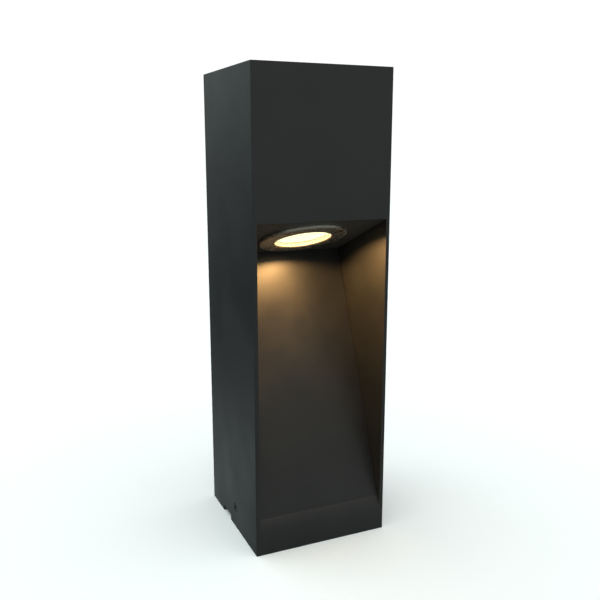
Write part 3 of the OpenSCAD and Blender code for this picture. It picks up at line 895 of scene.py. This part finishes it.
@dataclass(frozen=True)
class SocketScrew:
    """A countersunk socket screw: eased flat head, hexagon socket, and a thread cut into its shank.

    The shank's and the head's sizes are radii, the socket's is half its width across corners, and
    its depth is a share of the head's height.
    """

    shank_mm: float
    head_mm: float
    head_h_mm: float
    length_mm: float
    socket_mm: float
    pitch_mm: float
    sides: int = 48
    ease_mm: float = 0.15
    thread_depth_mm: float = 0.25
    socket_depth: float = 0.7
    tip_mm: float = 0.3
    thread_rows: int = 6

    def profile(self) -> tuple[np.ndarray, np.ndarray]:
        """Radius and height of each row, from the socket's floor out over the head to the tip.

        The thread's radius is the shank's less depth times a triangle wave of z / pitch - turn.

        Returns:
            The radii and the heights, a row for each circle, in metres.
        """
        turn = np.linspace(0, 1, self.sides, endpoint=False)
        flat = np.ones(self.sides)
        socket = hexagon(2 * self.socket_mm * math.cos(math.pi / 6), self.sides)
        depth, ease = self.socket_depth * self.head_h_mm * MM, self.ease_mm * MM
        head, shank = self.head_mm * MM, self.shank_mm * MM
        rows = [(socket * 0.6, depth), (socket, depth), (socket, ease / 2), (socket + ease / 2, 0.0),
                (flat * (head - ease), 0.0), (flat * head, ease * 0.6),
                (flat * (shank + ease), (self.head_h_mm * MM) - ease), (flat * shank, self.head_h_mm * MM)]
        radii = np.array([r for r, _ in rows])
        heights = np.array([z * flat for _, z in rows])
        z = np.arange(self.head_h_mm + self.pitch_mm, self.length_mm - self.tip_mm,
                      self.pitch_mm / self.thread_rows) * MM
        wave = np.abs(((z[:, None] / (self.pitch_mm * MM) - turn) % 1.0) * 2 - 1)
        fade = np.clip((z - z[0]) / (self.pitch_mm * MM), 0, 1)[:, None]
        threaded = shank - self.thread_depth_mm * MM * wave * fade
        tip = np.array([0.7 * shank, 0.2 * shank])[:, None] * flat
        length = self.length_mm * MM
        return (np.concatenate([radii, threaded, tip]),
                np.concatenate([heights, z[:, None] * flat, np.array([[length], [length]]) * flat]))

    def build(self, name: str, places: np.ndarray, ways: np.ndarray) -> Piece:
        """Makes one piece of all the screws at these places."""
        return turned_solid(name, places, ways, *self.profile())


def finish_piece(piece: Piece, finish: Finish, body: str) -> Piece:
    """Gives a new piece its material and its body.

    Args:
        piece: the piece.
        finish: its finish.
        body: the CAD body that it moves with.

    Returns:
        The piece.
    """
    piece.data.materials.clear()
    piece.data.materials.append(finish.material())
    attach(piece, body)
    LOG.info("%s: %d faces, %s, rides on %s", piece.name, len(piece.data.polygons), finish.name, body)
    return piece


def coat_node(node: str, finish: Finish) -> None:
    """Gives a CAD node that keeps its mesh a finish in each of its material slots.

    Args:
        node: the node's name.
        finish: the finish.
    """
    for place in frame["nodes"][node].material_slots:
        place.material = finish.material()
    LOG.info("%s: kept, %s", node, finish.name)


# ---- Sub-assemblies ----


@dataclass
class Column:
    """The coated column: tube, cap, lamp shelf and slope panel."""

    tube_edge_mm: float = 0.5
    sheet_edge_mm: float = 0.35

    def build(self) -> None:
        """Makes the four coated pieces with eased edges."""
        for node, name, edge, coat in (
                ("column_housing", "column_tube", self.tube_edge_mm, COLUMN_COAT),
                ("top_cap", "column_cap", self.sheet_edge_mm, COLUMN_COAT),
                # The recess ceiling's lighter coat is painted light
                ("lamp_shelf", "recess_shelf", self.sheet_edge_mm, SHELF_COAT_PAINTED_LIGHT),
                ("slope_panel", "recess_slope", self.sheet_edge_mm, COLUMN_COAT)):
            finish_piece(eased_copy(node, name, edge), coat, "column")


@dataclass
class LightOutlet:
    """What the light comes out of: ring, screws, gasket, glass and retainer, round the lamp's line."""

    ring_edge_mm: float = 0.2
    glass_edge_mm: float = 0.45
    glass_inner_row: float = 0.3
    gasket_edge_mm: float = 0.15
    retainer_edge_mm: float = 0.12
    screw: SocketScrew = SocketScrew(shank_mm=1.5, head_mm=3.0, head_h_mm=1.6, length_mm=7.5,
                                     socket_mm=1.15, pitch_mm=0.5)

    def extent(self, node: str) -> tuple[float, float, float, float]:
        """Measures a round node in the lamp's own frame.

        Args:
            node: the node's name.

        Returns:
            Its inner and outer radius, and its two heights.
        """
        local = LAMP.local(merged_faces(node)[0])
        r = np.hypot(local[:, 0], local[:, 1])
        return r.min(), r.max(), local[:, 2].min(), local[:, 2].max()

    def screws(self) -> Piece:
        """Makes the bezel screws: one on the middle of each quarter of the CAD node.

        Returns:
            The piece.
        """
        local = LAMP.local(merged_faces("bezel_screws")[0])
        low = local[local[:, 2] < local[:, 2].min() + 0.01 * MM]
        quarter = np.round(np.arctan2(low[:, 1], low[:, 0]) / (math.pi / 2) - 0.5)
        middles = np.stack([low[quarter == q].mean(axis=0) for q in np.unique(quarter)])
        made = self.screw.build("ring_screws", LAMP.place(middles), np.tile(LAMP.up, (len(middles), 1)))
        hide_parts("bezel_screws")
        return made

    def glass(self) -> Piece:
        """Makes a solid disc with a ground edge: circles from the lower middle to the upper one.

        Returns:
            The piece.
        """
        _, radius, low, high = self.extent("lens_glass")
        edge = self.glass_edge_mm * MM
        inner = self.glass_inner_row * radius
        r = np.array([inner, radius - edge, radius, radius, radius - edge, inner])
        z = np.array([low, low, low + edge, high - edge, high, high])
        sides = np.ones(128)
        made = turned_solid("lens_disc", LAMP.place(np.zeros((1, 3))), LAMP.up[None, :],
                            r[:, None] * sides, z[:, None] * sides)
        made.visible_shadow = False
        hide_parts("lens_glass")
        return made

    def gasket(self) -> Piece:
        """Makes the seal under the glass: a flat ring with soft edges.

        Returns:
            The piece.
        """
        inner, outer, low, high = self.extent("lens_gasket")
        outline = rounded([(inner, low), (outer, low), (outer, high), (inner, high)],
                          self.gasket_edge_mm * MM)
        made = turned_ring("lens_seal", outline)
        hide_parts("lens_gasket")
        return made

    def build(self) -> None:
        """Makes and dresses the five pieces."""
        finish_piece(eased_copy("bezel_ring", "outlet_ring", self.ring_edge_mm), RING_ANODISED,
                     "column")
        finish_piece(self.screws(), STAINLESS, "column")
        finish_piece(self.gasket(), SEAL_SILICONE, "column")
        finish_piece(self.glass(), CLEAR_GLASS, "column")
        finish_piece(eased_copy("glass_retainer", "retaining_ring", self.retainer_edge_mm, steps=2),
                     STAINLESS, "column")


@dataclass
class LampUnit:
    """The lamp itself, which turns in its holder: lens, cup, chip, board, casting, base and pins."""

    lenslet_mm: float = 2.6
    relief_mm: float = 0.45
    fade_mm: float = 1.5
    rim_mm: float = 0.5
    rings: int = 90
    sides: int = 240
    casting_edge_mm: float = 0.25
    base_edge_mm: float = 0.6
    pin_edge_mm: float = 0.2

    def lens(self) -> Piece:
        """Makes the optic, with a pattern of small domes on its front.

        A dome stands out by relief * (1 - (2 d / pitch)^2), where d is the way to the nearest
        point of a triangular lattice, and the domes die out towards the rim.

        Returns:
            The piece.
        """
        local = LAMP.local(merged_faces("lamp_optic")[0])
        radius, low, high = np.hypot(local[:, 0], local[:, 1]).max(), local[:, 2].min(), local[:, 2].max()
        r = np.linspace(radius / self.rings, radius, self.rings)[:, None]
        a = np.linspace(0, 2 * np.pi, self.sides, endpoint=False)[None, :]
        x, y = r * np.cos(a), r * np.sin(a)
        pitch = self.lenslet_mm * MM
        tall = pitch * math.sqrt(3)
        gaps = [np.hypot((x + s * pitch / 2) % pitch - pitch / 2, (y + s * tall / 2) % tall - tall / 2)
                for s in (0, 1)]
        near = np.minimum(*gaps) / (pitch / 2)
        dome = np.clip(1 - near ** 2, 0, 1) * np.clip((radius - r) / (self.fade_mm * MM), 0, 1)
        inside = np.clip((radius - r) / (self.rim_mm * MM), 0, 1)
        front = low + self.relief_mm * MM * (1 - dome) * inside
        back_r = np.array([[radius], [0.5 * radius]]) + 0 * a
        back_z = np.full((2, self.sides), high)
        made = turned_solid("lamp_lens", LAMP.origin[None, :], LAMP.up[None, :],
                            np.concatenate([r + 0 * a, back_r]), np.concatenate([front, back_z]))
        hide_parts("lamp_optic")
        return made

    def build(self) -> None:
        """Makes the lens, eases the casting and the base, and dresses the rest as it is."""
        finish_piece(self.lens(), LIT_LENS, "lamp")
        finish_piece(eased_copy("lamp_body", "lamp_casting", self.casting_edge_mm, steps=2),
                     LAMP_CASTING, "lamp")
        finish_piece(eased_copy("lamp_base", "lamp_foot", self.base_edge_mm), STEATITE,
                     "lamp")
        finish_piece(eased_copy("lamp_pins", "lamp_studs", self.pin_edge_mm), NICKEL,
                     "lamp")
        for node, finish in (("lamp_reflector", SILVERED_CUP), ("led_chip", PHOSPHOR),
                             ("led_board", LAMP_CASTING)):
            coat_node(node, finish)


@dataclass(frozen=True)
class Lead:
    """One lead: its route in millimetres, the ways it leaves and ends, and its finish."""

    node: str
    start: tuple[float, float, float]
    first: tuple[float, float, float]
    via: tuple[tuple[float, float, float], ...]
    pole_x: float
    finish: Finish
    slot: str


@dataclass
class Wiring:
    """The three leads from the lamp holder and the earth stud down to the terminal block."""

    sleeve_mm: float = 2.5
    straight_mm: float = 6.0
    holder_top_mm: float = 63.9
    contact_x_mm: tuple[float, float] = (-5.0, 5.0)
    earth_start_mm: tuple[float, float, float] = (44.0, 31.0, 4.3)
    pole_y: float = 38.0
    block_top_z: float = 118.0
    steps: int = 8
    sides: int = 20

    def leads(self) -> tuple[Lead, Lead, Lead]:
        """Sets out the three leads, whose points between the ends are listed.

        Returns:
            The live, the neutral and the earth lead.
        """
        up, back = tuple(LAMP.up), tuple(LAMP.axes()[1])
        top = [tuple(LAMP.place(np.array([x, 0.0, self.holder_top_mm]) * MM) / MM)
               for x in self.contact_x_mm]
        stud = tuple(LAMP.place(np.array(self.earth_start_mm) * MM) / MM)
        return (
            Lead("live_lead", top[0], up, ((-5, 21, 338), (-5, 36, 340), (-6, 43, 320), (-7, 43, 270),
                 (-9, 42, 200), (-10, 40, 150)), -10, LIVE_SLEEVE, "brown_sleeve"),
            Lead("neutral_lead", top[1], up, ((5, 20, 332), (5, 33, 331), (4, 38, 310), (2, 39, 262),
                 (1, 39, 200), (0, 39, 150)), 0, NEUTRAL_SLEEVE, "blue_sleeve"),
            Lead("earth_lead", stud, back, ((43, 33, 246), (41, 41, 232), (34, 42, 205),
                 (22, 41, 175), (12, 40, 150)), 10, EARTH_SLEEVE, "green_sleeve"))

    def centre_line(self, lead: Lead) -> np.ndarray:
        """Draws a smooth line through the route.

        Each stretch is the cubic that runs through its two points, and at each of them takes half
        the way between that point's neighbours as its slope.

        Args:
            lead: the lead.

        Returns:
            The line's points, in metres.
        """
        start, end = np.array(lead.start), np.array([lead.pole_x, self.pole_y, self.block_top_z])
        rise = np.array([0, 0, self.straight_mm])
        route = np.array([start, start + self.straight_mm * np.array(lead.first), *lead.via,
                          end + rise, end], float)
        q = np.concatenate([[2 * route[0] - route[1]], route, [2 * route[-1] - route[-2]]])
        t = (np.arange(self.steps) / self.steps)[None, :, None]
        a, b, c, d = (q[k:len(q) - 3 + k][:, None] for k in range(4))
        line = 0.5 * (2 * b + (c - a) * t + (2 * a - 5 * b + 4 * c - d) * t ** 2
                      + (3 * b - a - 3 * c + d) * t ** 3)
        return np.concatenate([line.reshape(-1, 3), route[-1:]]) * MM

    def tube(self, lead: Lead) -> Piece:
        """Makes a round tube along the line, with u once round it and v along it in its UV map.

        A point is centre + radius * (cos a * side + sin a * other), where side is square to the
        line and to +X at every place, so that the tube doesn't twist.

        Args:
            lead: the lead.

        Returns:
            The piece.
        """
        line = self.centre_line(lead)
        along = np.gradient(line, axis=0)
        along[0], along[-1] = lead.first, (0, 0, -1)
        along /= np.linalg.norm(along, axis=1, keepdims=True)
        side = np.cross(along, [1.0, 0.0, 0.0])
        side /= np.linalg.norm(side, axis=1, keepdims=True)
        other = np.cross(side, along)
        a = np.linspace(0, 2 * np.pi, self.sides, endpoint=False)[None, :, None]
        walls = line[:, None] + self.sleeve_mm / 2 * MM * (
            np.cos(a) * side[:, None] + np.sin(a) * other[:, None])
        rows = len(line)
        faces = grid_faces(rows, self.sides)
        faces += [list(range(self.sides))[::-1], list(range((rows - 1) * self.sides, rows * self.sides))]
        made = tidy_solid(mesh_object(lead.node.replace("_lead", "_wire"), walls.reshape(-1, 3), faces))
        self.unwrap(made, rows)
        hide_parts(lead.node)
        return made

    def unwrap(self, made: Piece, rows: int) -> None:
        """Writes the UV map: u is the side's share of the turn, and 1 at the seam, and v the row's.

        Args:
            made: the tube.
            rows: how many rows of points it has.
        """
        mesh = made.data
        corners = np.empty(len(mesh.loops), int)
        mesh.loops.foreach_get("vertex_index", corners)
        row, side = corners // self.sides, corners % self.sides
        u = side / self.sides
        starts = np.empty(len(mesh.polygons), int)
        counts = np.empty(len(mesh.polygons), int)
        mesh.polygons.foreach_get("loop_start", starts)
        mesh.polygons.foreach_get("loop_total", counts)
        face = np.repeat(np.arange(len(counts)), counts)
        seam = np.zeros(len(counts), bool)
        np.logical_or.at(seam, face, side == self.sides - 1)
        u = np.where(seam[face] & (side == 0) & (counts[face] == 4), 1.0, u)
        layer = mesh.uv_layers.new(name="sleeve")
        layer.data.foreach_set("uv", np.stack([u, row / (rows - 1)], axis=1).ravel())

    def build(self) -> None:
        """Makes and dresses the three leads."""
        for lead in self.leads():
            finish_piece(self.tube(lead), lead.finish, "column")


@dataclass
class Fittings:
    """What is fixed inside the column and under it: holder, terminals, plates, foot and screws."""

    side_screw: SocketScrew = SocketScrew(shank_mm=2.5, head_mm=4.5, head_h_mm=2.6, length_mm=12.0,
                                          socket_mm=1.7, pitch_mm=0.8, ease_mm=0.2,
                                          thread_depth_mm=0.4)

    def side_screws(self) -> Piece:
        """Makes one screw in each side wall, pointing inwards from the wall's own face.

        Returns:
            The piece.
        """
        low, high = (np.array(corner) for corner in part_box("side_screws"))
        middle = (low + high) / 2
        places = np.array([[low[0], middle[1], middle[2]], [high[0], middle[1], middle[2]]])
        made = self.side_screw.build("foot_screws", places, np.array([[1.0, 0, 0], [-1.0, 0, 0]]))
        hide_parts("side_screws")
        return made

    def build(self) -> None:
        """Eases the plain pieces, and dresses the small ones as they are."""
        finish_piece(self.side_screws(), BLACK_SCREW, "column")
        for node, name, edge, finish, slot in (
                ("lamp_holder", "holder_body", 0.5, STEATITE, "ceramic"),
                ("holder_bracket", "holder_strap", 0.25, ZINC, "zinc_plate"),
                ("terminal_block", "terminal_housing", 0.3, NYLON, "white_nylon"),
                ("cord_saddle", "cord_clamp", 0.5, NYLON, "white_nylon"),
                ("gear_plate", "gear_sheet", 0.3, ZINC, "zinc_plate"),
                ("base_plate", "foot_plate", 0.4, COLUMN_COAT, "powder_coat"),
                ("base_pad", "foot_pad", 0.3, RUBBER, "black_rubber"),
                ("cable_grommet", "entry_grommet", 0.4, RUBBER, "black_rubber"),
                ("stud_nuts", "shelf_nuts", 0.2, ZINC, "zinc_plate")):
            finish_piece(eased_copy(node, name, edge, steps=2), finish, "column")
        for node, finish in (
                ("holder_contacts", BRASS), ("holder_screws", STAINLESS), ("shelf_studs", STAINLESS),
                ("earth_tag", BRASS), ("terminal_barrels", BRASS), ("terminal_screws", NICKEL),
                ("block_screws", STAINLESS), ("gear_screws", STAINLESS),
                ("saddle_screws", STAINLESS), ("rivet_nuts", ZINC)):
            coat_node(node, finish)


# ---- Studio ----


@dataclass
class Studio:
    """Floor, room light, the lamp's own light and the camera. Nothing here belongs to the part."""

    width: float
    floor_reach: float = 60.0
    floor_cells: int = 8
    floor_colour: str = "#fafaf9"
    camera_place: tuple[float, float, float] = (-2.056, -4.786, 2.779)
    heading_deg: float = 23.72
    pitch_deg: float = 11.86
    lens_mm: float = 43.4
    lamp_watts: float = 0.45
    lamp_spread_deg: float = 159.0
    lamp_colour: tuple[float, float, float] = (1.0, 0.54, 0.19)
    lamp_radius_mm: float = 16.0
    unlit: tuple[str, ...] = ("floor", "lens_disc", "lamp_lens")
    lamp_rise_mm: float = 2.3
    room_level: float = 3.0
    back_level: float = 0.6
    paper_level: float = 1.05
    front_tint: tuple[float, float, float] = (0.94, 1.0, 0.98)
    left_tint: tuple[float, float, float] = (0.86, 1.0, 1.02)
    front_levels: tuple[tuple[float, float], ...] = (
        (-0.47, 0.17), (-0.1, 0.2), (0.09, 0.46), (0.28, 0.07), (0.65, 0.4), (0.85, 2.5))
    left_levels: tuple[tuple[float, float], ...] = (
        (-0.54, 0.0), (-0.43, 0.6), (-0.3, 0.0), (-0.04, 0.08), (0.08, 0.4), (0.6, 0.8),
        (0.8, 2.5))

    def floor(self) -> None:
        """A pale floor: a flat square grid that reaches well past the column."""
        reach, cells = self.floor_reach * self.width, self.floor_cells
        line = np.linspace(-reach, reach, cells + 1)
        x, y = np.meshgrid(line, line)
        points = np.stack([x.ravel(), y.ravel(), np.zeros(x.size)], axis=1)
        row = np.arange(cells)[:, None] * (cells + 1) + np.arange(cells)[None, :]
        faces = np.stack([row, row + 1, row + cells + 2, row + cells + 1], axis=-1).reshape(-1, 4)
        made = mesh_object("floor", points, faces)
        paper = bpy.data.materials.new("floor_paper")
        paper.use_nodes = True
        shader = paper.node_tree.nodes["Principled BSDF"]
        shader.inputs["Base Color"].default_value = linear(self.floor_colour)
        shader.inputs["Roughness"].default_value = 0.9
        shader.inputs["Specular IOR Level"].default_value = 0.1
        made.data.materials.append(paper)
        made.visible_glossy = False

    def room(self) -> None:
        """Soft room light, by direction: bright overhead, dim round the horizon, before white paper.

        The level at a height z of the unit direction is read from one row of stops for the front
        and one for the left, and the back right is one tone. The paper behind the floor shows
        straight to the camera and lights nothing.
        """
        world = bpy.data.worlds.new("studio_room")
        world.use_nodes = True
        bpy.context.scene.world = world
        tree = world.node_tree
        way = add_node(tree, "ShaderNodeSeparateXYZ", {
            0: add_node(tree, "ShaderNodeTexCoord").outputs["Generated"]})
        height = add_node(tree, "ShaderNodeMapRange", {
            "Value": way.outputs["Z"], "From Min": -1.0, "From Max": 1.0})
        front, left = (
            add_node(tree, "ShaderNodeValToRGB", {"Fac": height.outputs["Result"]}, [
                ((z + 1) / 2, (*(level * t / self.room_level for t in tint), 1.0))
                for z, level in levels]).outputs["Color"]
            for levels, tint in ((self.front_levels, self.front_tint),
                                 (self.left_levels, self.left_tint)))
        behind = add_node(tree, "ShaderNodeMapRange", {
            "Value": way.outputs["Y"], "From Min": -0.2, "From Max": 0.3})
        sides = add_node(tree, "ShaderNodeMix", {
            "Factor": behind.outputs["Result"], MIX_A: front, MIX_B: left}, data_type="RGBA")
        rightward = add_node(tree, "ShaderNodeMapRange", {
            "Value": way.outputs["X"], "From Min": -0.15, "From Max": 0.0})
        seen = add_node(tree, "ShaderNodeMath", {
            0: behind.outputs["Result"], 1: rightward.outputs["Result"]}, operation="MULTIPLY")
        white = (self.back_level / self.room_level,) * 3
        both = add_node(tree, "ShaderNodeMix", {
            "Factor": seen.outputs["Value"], MIX_A: sides.outputs[MIXED], MIX_B: (*white, 1.0)},
            data_type="RGBA")
        paper = (self.paper_level / self.room_level,) * 3
        shown = add_node(tree, "ShaderNodeMix", {
            "Factor": add_node(tree, "ShaderNodeLightPath").outputs["Is Camera Ray"],
            MIX_A: both.outputs[MIXED], MIX_B: (*paper, 1.0)}, data_type="RGBA")
        back = tree.nodes["Background"]
        tree.links.new(shown.outputs[MIXED], back.inputs["Color"])
        back.inputs["Strength"].default_value = self.room_level

    def lamp_light(self) -> None:
        """The lamp's beam: a disc just above the glass, which the ring's lip cuts off."""
        light = bpy.data.lights.new("lamp_beam", "AREA")
        light.shape = "DISK"
        light.size = 2 * self.lamp_radius_mm * MM
        light.energy = self.lamp_watts
        light.color = self.lamp_colour
        light.spread = math.radians(self.lamp_spread_deg)
        beam = bpy.data.objects.new("lamp_beam", light)
        bpy.context.scene.collection.objects.link(beam)
        beam.location = Vector(LAMP.place(np.array([0.0, 0.0, self.lamp_rise_mm * MM])))
        beam.rotation_euler = LAMP.turn
        beam.visible_camera = False
        beam.visible_transmission = False
        lit = bpy.data.collections.new("lit_by_lamp")
        for piece in bpy.context.scene.objects:
            if piece.type == "MESH" and piece.name not in self.unlit:
                lit.objects.link(piece)
        beam.light_linking.receiver_collection = lit

    def camera(self) -> None:
        """The camera, placed by multiples of the column's width."""
        data = bpy.data.cameras.new("camera")
        data.lens = self.lens_mm
        data.sensor_width = 36.0
        seen = bpy.data.objects.new("camera", data)
        bpy.context.scene.collection.objects.link(seen)
        seen.location = Vector(self.camera_place) * self.width
        seen.rotation_euler = Euler((math.radians(90 - self.pitch_deg), 0.0,
                                     -math.radians(self.heading_deg)))
        bpy.context.scene.camera = seen

    def build(self) -> None:
        """Makes all of it."""
        self.floor()
        self.room()
        self.lamp_light()
        self.camera()


def main() -> None:
    """Builds the sub-assemblies in order, then the studio."""
    logging.basicConfig(level=logging.INFO, format="%(name)s: %(message)s")
    low, high = CAD_BOX
    bpy.context.scene.view_settings.view_transform = "Standard"
    for assembly in (Column(), LightOutlet(), LampUnit(), Wiring(), Fittings(),
                     Studio(width=high.x - low.x)):
        assembly.build()


if __name__ == "__main__":
    main()
